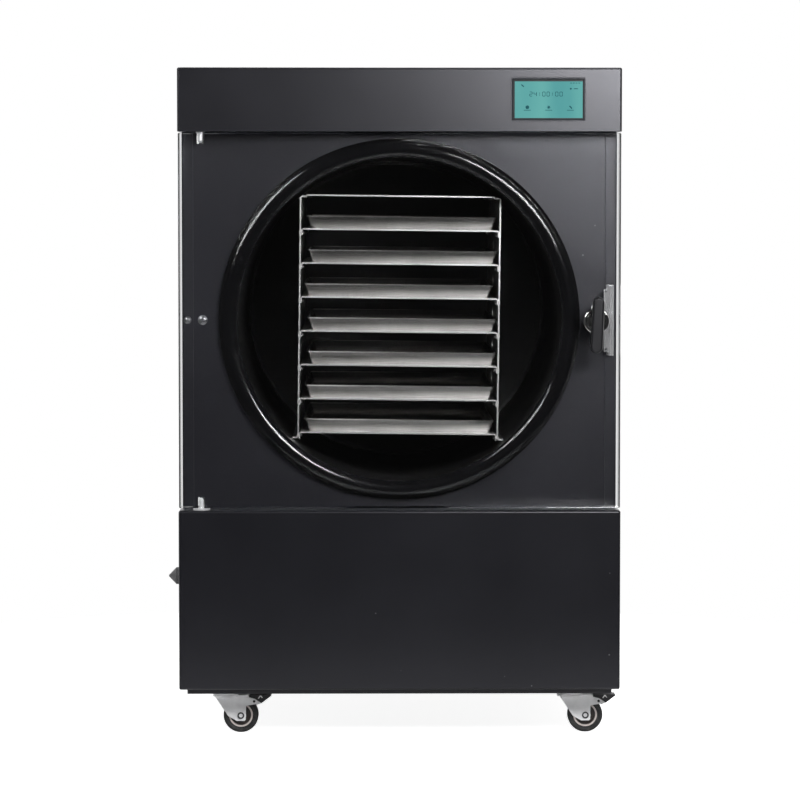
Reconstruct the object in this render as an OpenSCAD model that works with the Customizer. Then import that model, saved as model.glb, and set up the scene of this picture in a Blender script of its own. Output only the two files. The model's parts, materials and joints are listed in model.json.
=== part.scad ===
// Freeze dryer: a floor-standing cabinet on four castors. A round vacuum chamber
// opens at the front behind a thick clear door, and holds a rack of seven trays.
// Inside the cabinet X runs across, Y runs from the front face to the rear, and
// Z runs up from the floor. The cabinet is then moved so that the whole object
// stands centred on the origin.

/* [Cabinet] */
// Width over the head and the lower front panel
cabinet_w = 620; // [590:5:700]
// Depth from the front face to the rear panel
cabinet_d = 700; // [660:5:800]
// Height of the lower front panel
lower_h = 253; // [240:1:300]
// Height of the opening that the door fills
opening_h = 530; // [524:1:600]
// Height of the head that carries the screen
head_h = 89; // [84:1:120]
// Thickness of the cabinet sheet
sheet_t = 1.5; // [1:0.1:2]
// Radius of the head's and lower panel's edges
edge_r = 3.5; // [2.5:0.5:5]
// How far the side panels stand inside the head and lower panel
side_inset = 4; // [3.8:0.2:6]
// Width of the side panels' front and rear flanges
flange_w = 16; // [13:1:18]
// How far the side panels' front flanges stand behind the front face
flange_y = 49; // [48:1:60]
// Thickness of the bulkhead behind the door
bulkhead_t = 2; // [1.5:0.5:3]

/* [Base] */
// Height of the castors, from the floor to the base
castor_h = 65; // [64:1:72]
// Height of the base pan's walls
base_h = 7; // [6:1:12]
// How far the base pan stands inside the cabinet's outline
base_inset = 11; // [9:1:16]
// Thickness of the base pan
base_t = 2; // [1.5:0.5:3]
// Width of the base pan's inner lip
lip_w = 22; // [18:1:30]

/* [Door] */
// Thickness of the clear door
door_t = 28; // [24:1:29]
// Gap between the door's edge and the cabinet's outline at each side
door_edge = 1; // [0.5:0.5:3]
// Gap over the door
door_gap_top = 2; // [1.5:0.5:3]
// Gap under the door
door_gap_bottom = 3.5; // [2.5:0.5:5]
// Chamfer along the door's edges
door_chamfer = 1.2; // [0.5:0.1:2]
// Distance from the cabinet's outline to the hinge axis
hinge_inset = 32; // [27:0.5:32]
// Radius of the hinge pins
pin_r = 4.8; // [3.5:0.1:6]
// Length of each hinge pin inside the door
pin_reach = 14; // [12:1:25]
// Radius of the collar under the door
lower_collar_r = 12; // [9:0.5:13]
// Radius of the collar over the door
upper_collar_r = 6.5; // [6:0.5:12]

/* [Latch] */
// Distance from the cabinet's outline to the latch axis
latch_inset = 35; // [33:1:36]
// Height of the latch axis over the door's middle
latch_rise = 0; // [-60:1:60]
// Radius of the latch spindle
spindle_r = 6; // [5:0.5:7]
// Radius of the rose on the door's face
rose_r = 18; // [16:0.5:20]
// Height of the rose over the door's face
rose_h = 8; // [6:0.5:10]
// Height of the handle's upper end over the latch axis
wing_up = 34.5; // [28:0.5:40]
// Depth of the handle's lower end under the latch axis
wing_down = 44; // [38:0.5:60]
// Width of the handle at its upper end
wing_top_w = 16; // [14:0.5:20]
// Width of the handle at its lower end
wing_bottom_w = 18; // [15:0.5:24]
// Thickness of the handle
wing_t = 15; // [12:0.5:18]
// Length of the handle's neck, from the rose to the handle
neck_h = 13; // [11:0.5:18]
// Lean of the handle to the right, in degrees
handle_lean = 2.9; // [-5:0.1:5]
// Length of the cam from its axis to its tip
cam_reach = 21; // [19:0.5:22]
// Thickness of the cam
cam_t = 5; // [3:0.5:5.5]
// Length of the strike plate
strike_len = 100; // [70:1:140]
// Width of the strike plate's front lip
strike_lip = 13.5; // [11:0.5:14]

/* [Chamber] */
// Inner radius of the drum
drum_r = 228; // [218:1:232]
// Thickness of the drum's wall
drum_t = 4; // [3:0.5:6]
// Length of the drum's straight part behind the bulkhead
drum_len = 490; // [470:5:510]
// Depth of the dished rear end
dish_h = 50; // [40:1:56]
// Height of the drum's axis over the middle of the door opening
drum_rise = 2; // [0:0.5:5]
// Width of the gasket, from the drum's bore to its outer edge
gasket_w = 26; // [24:0.5:27]
// Width of the gasket's domed crown
crown_w = 19.5; // [18:0.5:20]
// Radius of the evaporator tube
coil_tube_r = 4; // [3:0.5:5]
// Distance between turns of the evaporator
coil_pitch = 26; // [24:1:30]

/* [Rack] */
// Width over the rack's side plates
rack_w = 285; // [280:1:290]
// Depth of the rack
rack_d = 430; // [400:5:435]
// Distance from the front face to the rack's front edge
rack_y = 80; // [70:1:84]
// Gap between the rack's top corners and the drum's wall
rack_clear = 3; // [2:0.5:12]
// Thickness of the shelves
shelf_t = 2; // [1.5:0.1:3]
// Thickness of the rack's side plates
plate_t = 2; // [1.5:0.1:2.5]
// Depth of the shelves' side flanges
shelf_flange = 10; // [8:0.5:12]
// Radius of the bends in the rack's sheet
bend_r = 4; // [3.5:0.5:5]
// How far the rack has turned on the drum's wall, in degrees
rack_roll = 0.7; // [0:0.1:1]

/* [Trays] */
// Gap between a tray's rim and the rack's side plates
tray_side = 5.2; // [5:0.1:12]
// Depth of a tray at its floor, front to rear
tray_d = 380; // [340:5:385]
// Height of a tray
tray_h = 18; // [14:1:24]
// How far the tray walls lean out
tray_flare = 6; // [3:0.5:6]
// Radius of the tray's corners at the floor
tray_corner = 4; // [3:0.5:10]
// Thickness of the tray sheet
tray_t = 1; // [0.8:0.1:1.5]
// Thickness of the rolled rim
rim_t = 2; // [1.5:0.5:3]
// Distance from the shelf's front edge to the tray
tray_setback = 20; // [18:1:30]

/* [Screen] */
// Width of the screen's frame
screen_w = 104; // [90:1:130]
// Height of the screen's frame
screen_h = 61; // [50:1:66]
// Width of the frame round the glass
screen_rim = 3; // [2:0.5:4]
// Distance from the cabinet's right outline to the frame
screen_inset = 51; // [40:1:80]
// Distance from the head's top to the frame
screen_drop = 14; // [12:0.5:16]

/* [Castors] */
// Radius of the castor wheels
wheel_r = 25; // [22:0.5:26]
// Width of the castor wheels
wheel_w = 18; // [14:1:20]
// Radius of the hub that carries the tyre
hub_r = 17; // [14:0.5:18]
// Distance from the swivel axis to the wheel's axle
trail = 20; // [16:1:24]
// Distance from the cabinet's outline to the swivel axes, at the sides
castor_inset_x = 64; // [58:1:90]
// Distance from the front and rear faces to the swivel axes
castor_inset_y = 85; // [70:1:110]
// Radius of the axle
axle_r = 4; // [3:0.5:5]
// Radius of the kingpin that the fork turns on
kingpin_r = 5; // [4:0.5:6]

/* [Drain] */
// Distance from the front face to the drain valve
drain_y = 250; // [215:1:265]
// Height of the drain valve over the floor
drain_z = 206; // [150:1:260]
// Radius of the drain knob
knob_r = 12.5; // [11:0.5:16]
// Length of the drain knob
knob_len = 15.5; // [13:0.5:20]
// Length of the spout between the side panel and the knob
spout_len = 16; // [16:0.5:20]
// Radius of the hose barb
barb_r = 5; // [4:0.5:5.5]
// Length of the hose barb
barb_len = 24; // [18:1:30]

/* [Vacuum port and inlet] */
// Inner radius of the vacuum port
port_r = 12.5; // [10:0.5:16]
// Thickness of the port's wall
port_t = 2; // [1.5:0.5:3]
// How far the port stands out of the rear panel
port_reach = 25; // [20:1:40]
// Distance from the middle to the mains inlet
inlet_x = 200; // [150:5:230]
// Height of the mains inlet over the base
inlet_rise = 70; // [40:5:120]

/* [Refrigeration] */
// Radius of the compressor's shell
comp_r = 80; // [70:1:82]
// Height of the compressor's shell
comp_h = 170; // [150:5:190]
// Length of the condenser along the side
cond_len = 230; // [200:5:240]
// Height of the condenser
cond_h = 200; // [180:5:210]
// Thickness of the condenser
cond_t = 40; // [30:2:46]
// Radius of the fan
fan_r = 80; // [70:1:82]

/* [Clearances] */
// Radial clearance of every pin or shaft that turns
turn_fit = 0.05; // [0.03:0.01:0.1]
// Gap between pieces that move past each other, and in loose fits
gap = 0.3; // [0.2:0.05:0.4]

/* [Hidden] */
$fn = 96;
eps = 0.01;
TRAYS = 7;

half_w = cabinet_w / 2;
side_x = half_w - side_inset;
z_base = castor_h;
z_panel = z_base + base_h;
z_deck = z_panel + lower_h;
z_head = z_deck + opening_h;
z_top = z_head + head_h;
bulkhead_y = flange_y + sheet_t;
floor_z = z_base + base_t;
panel_back = flange_y + 12;

// sheet work
panel_bend = 2;
foot_tab = 6;
rear_tab = 20;
underpan_wall = 14;
screw_hole_r = 2.5;

// louvres pressed out of the side panels, beside the condenser
LOUVRES = 9;
louvre_pitch = 18;
louvre_len = cond_len * 0.8;
louvre_z0 = z_panel + 50;
louvre_h = 9;
louvre_t = 1.2;
louvre_out = side_inset - 0.6;

// vent slots of the rear panel
VENTS = 8;
vent_x = -170;
vent_z0 = z_panel + 60;
vent_pitch = 16;
vent_len = 140;
vent_h = 6;

// whole object centred over the origin
knob_tip = side_x + spout_len + gap + knob_len;
handle_front = rose_h + gap + neck_h + wing_t;
mid_x = (knob_tip - half_w) / 2;
front_y = (handle_front - cabinet_d - port_reach) / 2;

// door and hinge
door_z0 = z_deck + door_gap_bottom;
door_z1 = z_head - door_gap_top;
door_x = half_w - door_edge;
hinge_x = -half_w + hinge_inset;
hinge_y = door_t / 2;
nut_h = 5;
nut_r = pin_r * 1.9;
pin_tip = pin_r * 0.8;

// latch
latch_x = half_w - latch_inset;
latch_z = (door_z0 + door_z1) / 2 + latch_rise;
cam_w = 10;
cam_hub_h = 5;
cam_y = door_t + gap + cam_hub_h;
cam_tip_r = 2;
spindle_end = 4;
neck_r = spindle_r + 2.5;
wing_round = 3;
strike_t = 1.5;
strike_x1 = side_x - 5.5;
strike_base_w = 9;
strike_rail_r = 1.6;
strike_end = 6;
strike_hole_r = 1.8;
guide_h = 18;

// chamber
drum_z = z_deck + opening_h / 2 + drum_rise;
drum_out = drum_r + drum_t;
crown_x = drum_r + crown_w;
crown_r = 16;
crest_r = drum_r + 0.6 * crown_w;
RIBS = 3;
rib_pitch = (gasket_w - crown_w) / RIBS;
rib_r = 0.55 * rib_pitch;
rib_drop = 3.5;
drum_front = door_t + 6;
drum_back = bulkhead_y + bulkhead_t + drum_len;
dish_R = (drum_out * drum_out + dish_h * dish_h) / (2 * dish_h);
boss_h = 8;
boss_y = drum_back + dish_h + boss_h - 2;
boss_r = port_r + port_t + 6;
port_flange_t = 5;
mount_ring = 24;
baffle_t = 2;
baffle_gap = 12.5;
baffle_post_r = 2;
baffle_post_x = (port_r + 1 + boss_r) / 2;
drain_hole_r = 4;
cradle_t = 3;
cradle_front = 70;
cradle_rear = 30;
cradle_y = [bulkhead_y + cradle_front, drum_back - cradle_rear];
cradle_foot_x = 170;
cradle_top_x = 150;
cradle_top = drum_z - 160;
cradle_shoulder = floor_z + 120;
cradle_foot = 30;
cradle_hole = [220, 130];
cradle_hole_z = floor_z + 105;
coil_turns = 11;
coil_y0 = drain_y - 2.5 * coil_pitch;
coil_y1 = coil_y0 + (coil_turns - 1) * coil_pitch;
header_r = coil_tube_r + 1;
header_end = 10;

// rack, in the drum's own frame
rack_x = rack_w / 2;
foot_x = rack_x + 7;
// how far the lowest shelf's flange hangs below the feet, between them
flange_low = 1.5;
foot_z = -sqrt(drum_r * drum_r - foot_x * foot_x) + plate_t / 2 + gap / 2;
lowest_shelf = foot_z + shelf_flange - flange_low;
corner_r = drum_r - rack_clear;
top_shelf_z = sqrt(corner_r * corner_r - rack_x * rack_x);
shelf_pitch = (top_shelf_z - lowest_shelf) / TRAYS;
stud_r = 2;
stud_drop = shelf_t + 5;
stud_len = 2.5;
stud_head_t = 1.2;
stud_y = [rack_y + 25, rack_y + rack_d - 25];
top_tab = 6;
finger_r = 9;
// how far the rolled rim stands out of the tray's wall
rim_out = 0.9;
tray_w = rack_w - 2 * (plate_t + tray_side + tray_flare + rim_out);
// how far each tray has slid to the right, as a share of its side gap, top tray first
tray_slide = [0.35, 0.8, -0.3, 0.9, 0.88, 0.4, 0.4];

// castors
fork_t = 2.5;
fork_gap = 1.5;
crown_z = wheel_r + 29;
race_r = 20;
race_z = crown_z + 3;
castor_plate_w = 58;
castor_plate_t = 3;
bolt_r = 3;
bolt_head_r = 5;
pedal_pin = [19, 20.2];
pedal_pin_r = 1.8;
pedal_top = 29.3;
axle_head_r = 5;
axle_head_h = 2;
axle_rim = 1.3;
bolt_head_h = 3;
wheel_offset = [trail, 0, wheel_r];

// drain valve
spout_r = 8;
spout_fit = 0.3;
barb_x = side_x + spout_r + 0.5;
knob_stem_r = 3;
knob_stem = 9;
pipe_r = 6;
washer_t = 4;
spout_nut_t = 6;
spout_in = 30;
barb_bore_r = barb_r - 1.6;

// screen
screen_x1 = half_w - screen_inset;
screen_x0 = screen_x1 - screen_w;
screen_z1 = z_top - screen_drop;
screen_z0 = screen_z1 - screen_h;
glass_set = 2;
bezel_lip = 5;
bezel_lip_t = 2.5;
glass_t = 4;
board_d = 12;
board_edge = 3;

// refrigeration
comp_x = 60;
comp_y = drain_y + 95;
cond_x1 = side_x - 22;
cond_y0 = cabinet_d - 60 - cond_len;
cond_z0 = floor_z + 24;
fan_y = cond_y0 + cond_len / 2;
fan_z = cond_z0 + cond_h / 2;
fan_hub_r = 22;
fan_shaft_r = 3;
fan_hub_h = 20;
BLADES = 5;
blade_turn = 32;
blade_t = 2.4;
blade_w = 48;
comp_z = floor_z + 14;
comp_base_round = 14;
comp_top_round = 26;
comp_seam = [3, 4];
comp_foot_r = 11;
FINS = 28;
TUBES = 5;
tube_h = 8;
tube_end = 12;
cond_cap = 3;
cond_foot = 30;
cond_foot_set = 10;
shroud_x = cond_x1 - cond_t - 34;
shroud_t = 2;
bar_t = 6;
bar_w = 16;
bearing_r = 14;

// mains inlet: its body, plate and socket as half widths and half heights
inlet_z = z_base + inlet_rise;
inlet_body = [13.7, 10.2];
inlet_plate = [25, 14];
inlet_plate_t = 2.5;
inlet_mouth = [12, 8.3];
inlet_body_d = 22;
inlet_mouth_d = 18;
inlet_pins = [[-7, -2], [0, 2.5], [7, -2]];

// fasteners
screw_r = 5.5;
screw_h = 2.5;
screw_shank_r = 2.2;
big_screw_r = 7;
big_screw_x = -half_w + 33;

// ---- placing and drawing helpers ----

module in_cabinet() translate([mid_x, front_y, 0]) children();
module in_drum() in_cabinet() translate([0, 0, drum_z]) children();
module in_rack() in_drum() rotate([0, rack_roll, 0]) children();

// a box between two limits along each axis
module block(x, y, z)
    translate([x[0], y[0], z[0]]) cube([x[1] - x[0], y[1] - y[0], z[1] - z[0]]);
// an outline in X and Z, extruded along Y
module along_y(y) translate([0, y[1], 0]) rotate([90, 0, 0]) linear_extrude(y[1] - y[0]) children();
// an outline in Y and Z, extruded along X
module along_x(x) translate([x[0], 0, 0]) rotate([90, 0, 90]) linear_extrude(x[1] - x[0]) children();
// an outline in X and Y, extruded along Z
module along_z(z) translate([0, 0, z[0]]) linear_extrude(z[1] - z[0]) children();
// a profile of radius and length, turned about Y or X
module turned_y() rotate([-90, 0, 0]) rotate_extrude() children();
module turned_x() rotate([0, 90, 0]) rotate_extrude() children();

// a flat box between limits
module area(x, y) translate([x[0], y[0]]) square([x[1] - x[0], y[1] - y[0]]);
// a flat box with round corners
module round_area(x, y, r) {
    area([x[0] + r, x[1] - r], y);
    area(x, [y[0] + r, y[1] - r]);
    for (px = [x[0] + r, x[1] - r])
        for (py = [y[0] + r, y[1] - r])
            translate([px, py]) circle(r);
}
// a flat box with cut corners
module cut_area(x, y, c)
    polygon([[x[0] + c, y[0]], [x[1] - c, y[0]], [x[1], y[0] + c], [x[1], y[1] - c],
        [x[1] - c, y[1]], [x[0] + c, y[1]], [x[0], y[1] - c], [x[0], y[0] + c]]);
// a box with every edge rounded
module round_block(x, y, z, r)
    intersection() {
        along_z(z) round_area(x, y, r);
        along_y(y) round_area(x, z, r);
        along_x(x) round_area(y, z, r);
    }
// a folded sheet in U form, open towards +X, flanges at both ends of its web
module channel(x, y, t, r, flange)
    difference() {
        round_area([x, x + 2 * flange], y, r);
        round_area([x + t, x + 3 * flange], [y[0] + t, y[1] - t], r - t);
        area([x + flange, x + 4 * flange], [y[0] - 1, y[1] + 1]);
    }

// ---- cabinet ----

module base_frame() {
    x = half_w - base_inset;
    y0 = base_inset;
    y1 = cabinet_d - base_inset;
    color("#232326") in_cabinet() difference() {
        block([-x, x], [y0, y1], [z_base, z_panel]);
        block([-x + base_t, x - base_t], [y0 + base_t, y1 - base_t], [floor_z, z_panel - base_t]);
        block([-x + lip_w, x - lip_w], [y0 + lip_w, y1 - lip_w], [floor_z, z_panel + eps]);
        for (c = [0 : 3])
            castor_bolts(c) cylinder(r = bolt_r + gap, h = 4 * base_h, center = true);
    }
}

// each louvre is a sloping hood over its slot
module louvre_places()
    for (i = [0 : LOUVRES - 1]) translate([0, fan_y, louvre_z0 + i * louvre_pitch]) children();
module louvre_hood()
    along_y([-louvre_len / 2, louvre_len / 2])
        polygon([[0, 0], [louvre_out, 0], [louvre_out, louvre_t], [0, louvre_h]]);
module louvre_cut() {
    lip = louvre_out - louvre_t;
    roof = louvre_h * 0.75;
    along_y([-louvre_len / 2 + louvre_t, louvre_len / 2 - louvre_t])
        polygon([[-sheet_t - 1, -eps], [lip, -eps], [lip, louvre_t * 0.7], [-sheet_t, roof],
            [-sheet_t - 1, roof]]);
}
// a screw's hole along Y, through a sheet of thickness t
module screw_hole(t) rotate([90, 0, 0]) cylinder(r = screw_hole_r, h = 4 * t, center = true);

// a side panel drawn for the left side, its outer face at X = -side_x
module side_panel_sheet() {
    y = [flange_y, cabinet_d - sheet_t];
    along_z([z_panel, z_head]) channel(-side_x, y, sheet_t, panel_bend, flange_w);
    block([-side_x + 1, -side_x + flange_w + foot_tab], [flange_y + sheet_t + bulkhead_t + gap,
        cabinet_d - 2 * sheet_t - gap], [z_panel, z_panel + sheet_t]);
}
module side_panel() difference() {
    union() {
        side_panel_sheet();
        louvre_places() translate([-side_x, 0, 0]) mirror([1, 0, 0]) louvre_hood();
    }
    louvre_places() translate([-side_x, 0, 0]) mirror([1, 0, 0]) louvre_cut();
    for (z = screw_heights())
        translate([-side_x + flange_w / 2, cabinet_d - 2 * sheet_t, z]) screw_hole(sheet_t);
}
module left_side_panel()
    color("#2b2a2e") in_cabinet() difference() {
        side_panel();
        translate([-side_x, drain_y, drain_z]) rotate([0, 90, 0])
            cylinder(r = spout_r + spout_fit, h = 4 * sheet_t, center = true);
        translate([-side_x + flange_w / 2, flange_y, latch_z]) screw_hole(sheet_t);
    }
module right_side_panel()
    color("#2b2a2e") in_cabinet() mirror([1, 0, 0]) side_panel();

// heights of the rear panel's screws
function screw_heights() = [z_panel + 60, latch_z, z_head - 60];

module rear_panel() {
    y = [cabinet_d - sheet_t, cabinet_d];
    tab_x = side_x - flange_w - foot_tab - 1;
    color("#2b2a2e") in_cabinet() difference() {
        union() {
            block([-side_x, side_x], y, [z_panel, z_head]);
            block([-tab_x, tab_x], [y[0] - rear_tab, y[0]], [z_panel, z_panel + sheet_t]);
        }
        translate([0, cabinet_d, drum_z]) rotate([90, 0, 0])
            cylinder(r = port_r + port_t + 1, h = 4 * sheet_t, center = true);
        block([inlet_x - inlet_body[0] - gap, inlet_x + inlet_body[0] + gap], [y[0] - eps, y[1] + eps],
            [inlet_z - inlet_body[1] - gap, inlet_z + inlet_body[1] + gap]);
        for (i = [0 : VENTS - 1])
            vent_slot(vent_x, vent_z0 + i * vent_pitch);
        for (x = [-side_x + flange_w / 2, side_x - flange_w / 2])
            for (z = screw_heights())
                translate([x, cabinet_d, z]) screw_hole(sheet_t);
    }
}
module vent_slot(x, z)
    along_y([cabinet_d - 2 * sheet_t, cabinet_d + sheet_t])
        translate([x, z]) round_area([-vent_len / 2, vent_len / 2], [-vent_h / 2, vent_h / 2],
            vent_h / 2 - eps);

module lower_front_panel() {
    t = sheet_t;
    color("#26262a") in_cabinet() difference() {
        intersection() {
            round_block([-half_w, half_w], [0, panel_back + edge_r * 2], [z_panel, z_deck], edge_r);
            block([-half_w, half_w], [0, panel_back], [z_panel, z_deck]);
        }
        // hollow behind the front sheet, open at the rear
        block([-half_w + t, half_w - t], [t, panel_back + eps], [z_panel + t, z_deck - t]);
        // the deck and the lower return stop at the side panels and the bulkhead
        block([-half_w + t, half_w - t], [bulkhead_y, panel_back + eps], [z_panel - eps, z_deck + eps]);
        for (s = [-1, 1])
            block(span(s * (side_x - flange_w - gap), s * (half_w - t)),
                [flange_y, panel_back + eps], [z_panel - eps, z_deck + eps]);
        block([-half_w + t, half_w - t], [base_inset + lip_w, panel_back + eps],
            [z_panel - eps, z_panel + t + eps]);
        translate([hinge_x, hinge_y, z_deck]) cylinder(r = pin_r + gap, h = 4 * t, center = true);
    }
}
// two limits in rising order
function span(a, b) = [min(a, b), max(a, b)];

module head_cover() {
    t = sheet_t;
    color("#323136") in_cabinet() difference() {
        intersection() {
            round_block([-half_w, half_w], [0, cabinet_d], [z_head - 2 * edge_r, z_top], edge_r);
            block([-half_w, half_w], [0, cabinet_d], [z_head, z_top]);
        }
        intersection() {
            round_block([-half_w + t, half_w - t], [t, cabinet_d - t], [z_head - 2 * edge_r, z_top - t],
                edge_r - t);
            block([-half_w, half_w], [0, cabinet_d], [z_head - eps, z_top]);
        }
        block([screen_x0, screen_x1], [-eps, t + eps], [screen_z0, screen_z1]);
    }
}

module head_underpan() {
    x = half_w - sheet_t;
    y = [sheet_t, cabinet_d - sheet_t];
    color("#26262a") in_cabinet() difference() {
        along_z([z_head, z_head + underpan_wall]) round_area([-x, x], y, edge_r - sheet_t);
        // open at the front, where the screen's frame comes down
        block([-x + sheet_t, x - sheet_t], [y[0] - eps, y[1] - sheet_t],
            [z_head + sheet_t, z_head + underpan_wall + eps]);
        translate([hinge_x, hinge_y, z_head]) cylinder(r = pin_r + gap, h = 4 * sheet_t, center = true);
    }
}

module front_bulkhead() {
    x = side_x - sheet_t - gap;
    color("#2d2c31") in_cabinet() difference() {
        block([-x, x], [bulkhead_y, bulkhead_y + bulkhead_t], [z_panel, z_head]);
        translate([0, bulkhead_y, drum_z]) rotate([90, 0, 0])
            cylinder(r = drum_out + gap, h = 4 * bulkhead_t, center = true);
        for (x = [-side_x + flange_w / 2, big_screw_x])
            translate([x, bulkhead_y, latch_z]) screw_hole(bulkhead_t);
    }
}

// two saddles that stand on the base and carry the drum
module chamber_cradle()
    color("#8d9094") in_cabinet()
        for (y = cradle_y) {
            along_y([y, y + cradle_t]) difference() {
                polygon([[-cradle_foot_x, floor_z], [cradle_foot_x, floor_z],
                    [cradle_foot_x, cradle_shoulder], [cradle_top_x, cradle_top],
                    [-cradle_top_x, cradle_top], [-cradle_foot_x, cradle_shoulder]]);
                translate([0, drum_z]) circle(drum_out + eps);
                translate([0, cradle_hole_z])
                    round_area([-cradle_hole[0] / 2, cradle_hole[0] / 2],
                        [-cradle_hole[1] / 2, cradle_hole[1] / 2], 20);
            }
            block([-cradle_foot_x, cradle_foot_x], [y + cradle_t - eps, y + cradle_foot],
                [floor_z, floor_z + cradle_t]);
        }

// ---- chamber ----

module vacuum_chamber()
    color("#3a3b3f") in_drum() difference() {
        union() {
            port_baffle();
            turned_y() {
                area([drum_r, drum_out], [drum_front, drum_back]);
                area([drum_out - eps, drum_out + mount_ring],
                    [bulkhead_y + bulkhead_t, bulkhead_y + 2 * bulkhead_t]);
                area([port_r + 1, boss_r], [boss_y - boss_h - 4, boss_y]);
                difference() {
                    dish_arc(dish_h);
                    dish_arc(dish_h - drum_t);
                    area([-1, port_r + 1], [0, 2 * boss_y]);
                }
            }
        }
        translate([0, drain_y, -drum_out]) cylinder(r = drain_hole_r, h = 6 * drum_t, center = true);
    }
// the region under the dished end's arc
module dish_arc(h)
    intersection() {
        translate([0, drum_back + h - dish_R]) circle(dish_R, $fn = 240);
        area([0, drum_out], [drum_back, drum_back + 2 * dish_h]);
    }

// a round plate on three posts, which keeps crumbs and ice out of the vacuum port
module port_baffle()
    translate([0, drum_back + dish_h - drum_t - baffle_gap, 0]) rotate([-90, 0, 0]) {
        cylinder(r = boss_r + baffle_t, h = baffle_t);
        for (i = [0 : 2])
            rotate(30 + i * 120) translate([baffle_post_x, 0, 0])
                cylinder(r = baffle_post_r, h = baffle_gap + drum_t / 2);
    }

// a domed crown over the drum's edge, and ribs that step back to the bulkhead
module chamber_gasket() {
    front = door_t + gap;
    color("#121214") in_drum() turned_y() difference() {
        union() {
            intersection() {
                translate([crest_r, front + crown_r]) circle(crown_r);
                area([drum_r, crown_x], [front, bulkhead_y]);
            }
            for (i = [0 : RIBS - 1])
                gasket_rib(crown_x + (i + 0.45) * rib_pitch, front + (i + 2) * rib_drop);
        }
        // the rebate that grips the drum's edge
        area([drum_r - gap, drum_out + gap], [drum_front - gap, bulkhead_y + eps]);
    }
}
module gasket_rib(r, y) {
    translate([r, y]) circle(rib_r);
    area([r - rib_pitch, r + rib_r], [y, bulkhead_y]);
}

module evaporator_coil() {
    ring_r = drum_out + gap + coil_tube_r;
    color("#b87333") in_drum() {
        for (i = [0 : coil_turns - 1])
            translate([0, coil_y0 + i * coil_pitch, 0]) turned_y()
                translate([ring_r, 0]) circle(coil_tube_r, $fn = 24);
        translate([0, coil_y0 - header_end, ring_r + coil_tube_r / 2]) rotate([-90, 0, 0])
            cylinder(r = header_r, h = coil_y1 - coil_y0 + 2 * header_end, $fn = 32);
    }
}

// ---- rack and trays ----

// section of the left side plate, from its foot to its top tab
module side_plate_section() {
    x = -rack_x;
    t = plate_t;
    top = top_shelf_z - shelf_t;
    area([x, x + t], [foot_z + bend_r - t / 2, top - bend_r]);
    // top tab bent in
    translate([x + bend_r, top - bend_r]) bend(bend_r, t, 90);
    area([x + bend_r - eps, x + bend_r + top_tab], [top - t, top]);
    // foot bent out
    translate([x + t - bend_r, foot_z + bend_r - t / 2]) bend(bend_r, t, 270);
    area([-foot_x, x + t - bend_r + eps], [foot_z - t / 2, foot_z + t / 2]);
}
// a quarter bend of sheet, from the start angle on
module bend(r, t, start)
    difference() {
        circle(r, $fn = 48);
        circle(r - t, $fn = 48);
        rotate(start) area([-2 * r, 2 * r], [-2 * r, 0]);
        rotate(start + 90) area([-2 * r, 2 * r], [0, 2 * r]);
    }
module rack_side()
    difference() {
        union() {
            along_y([rack_y, rack_y + rack_d]) side_plate_section();
            rack_studs();
        }
        // finger holes in the plate's rear half
        for (i = [1 : TRAYS - 1])
            translate([-rack_x, rack_y + rack_d / 2, lowest_shelf + (i + 0.45) * shelf_pitch])
                rotate([0, 90, 0]) cylinder(r = finger_r, h = 6 * plate_t, center = true);
    }
module rack_studs()
    for (i = [0 : TRAYS - 1])
        for (y = stud_y)
            translate([-rack_x - stud_head_t, y, lowest_shelf + i * shelf_pitch - stud_drop])
                rotate([0, 90, 0]) {
                    cylinder(r = stud_r + 1.5, h = stud_head_t + eps, $fn = 24);
                    cylinder(r = stud_r, h = stud_head_t + plate_t + shelf_t + stud_len, $fn = 24);
                }
module rack_left_side() color("#c9cacc") in_rack() rack_side();
module rack_right_side() color("#c9cacc") in_rack() mirror([1, 0, 0]) rack_side();
module rack_top_plate()
    color("#c9cacc") in_rack()
        along_z([top_shelf_z - shelf_t, top_shelf_z])
            round_area([-rack_x + bend_r + 0.75 * top_tab, rack_x - bend_r - 0.75 * top_tab],
                [rack_y, rack_y + rack_d], 2);

// a shelf, counted from the top, with its sides folded down inside the plates
module shelf(n) {
    z = lowest_shelf + (TRAYS - n) * shelf_pitch;
    x = rack_x - plate_t;
    color("#d2d3d5") in_rack() difference() {
        along_y([rack_y, rack_y + rack_d]) difference() {
            round_area([-x, x], [z - 3 * shelf_flange, z], bend_r);
            round_area([-x + shelf_t, x - shelf_t], [z - 4 * shelf_flange, z - shelf_t], bend_r - shelf_t);
            area([-2 * x, 2 * x], [z - 5 * shelf_flange, z - shelf_flange]);
        }
        for (s = [-1, 1])
            for (y = stud_y)
                translate([s * x, y, z - stud_drop]) rotate([0, 90, 0])
                    cylinder(r = stud_r + gap, h = 4 * shelf_t, center = true, $fn = 24);
    }
}

// a tray's block between two heights, wider than its floor by g0 below and g1 above
module tray_block(z, g0, g1, r)
    hull()
        for (e = [[z[0], g0], [z[1] - eps, g1]])
            for (x = [-1, 1])
                for (y = [-1, 1])
                    translate([x * (tray_w / 2 + e[1] - r), y * (tray_d / 2 + e[1] - r), e[0]])
                        cylinder(r = r, h = eps, $fn = 32);
// a tray, counted from the top, resting on its shelf
module tray(n) {
    z = lowest_shelf + (TRAYS - n) * shelf_pitch;
    rim_g = tray_flare * (1 - rim_t / tray_h);
    color("#b9babb") in_rack()
        translate([tray_slide[n - 1] * tray_side, rack_y + tray_setback + tray_d / 2, z])
            difference() {
                union() {
                    tray_block([0, tray_h], 0, tray_flare, tray_corner);
                    // rolled rim
                    tray_block([tray_h - rim_t, tray_h], rim_g + rim_out, tray_flare + rim_out,
                        tray_corner + rim_out);
                }
                tray_block([tray_t, tray_h + eps], -tray_t, tray_flare - tray_t, tray_corner - tray_t);
            }
}

// ---- door ----

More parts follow.
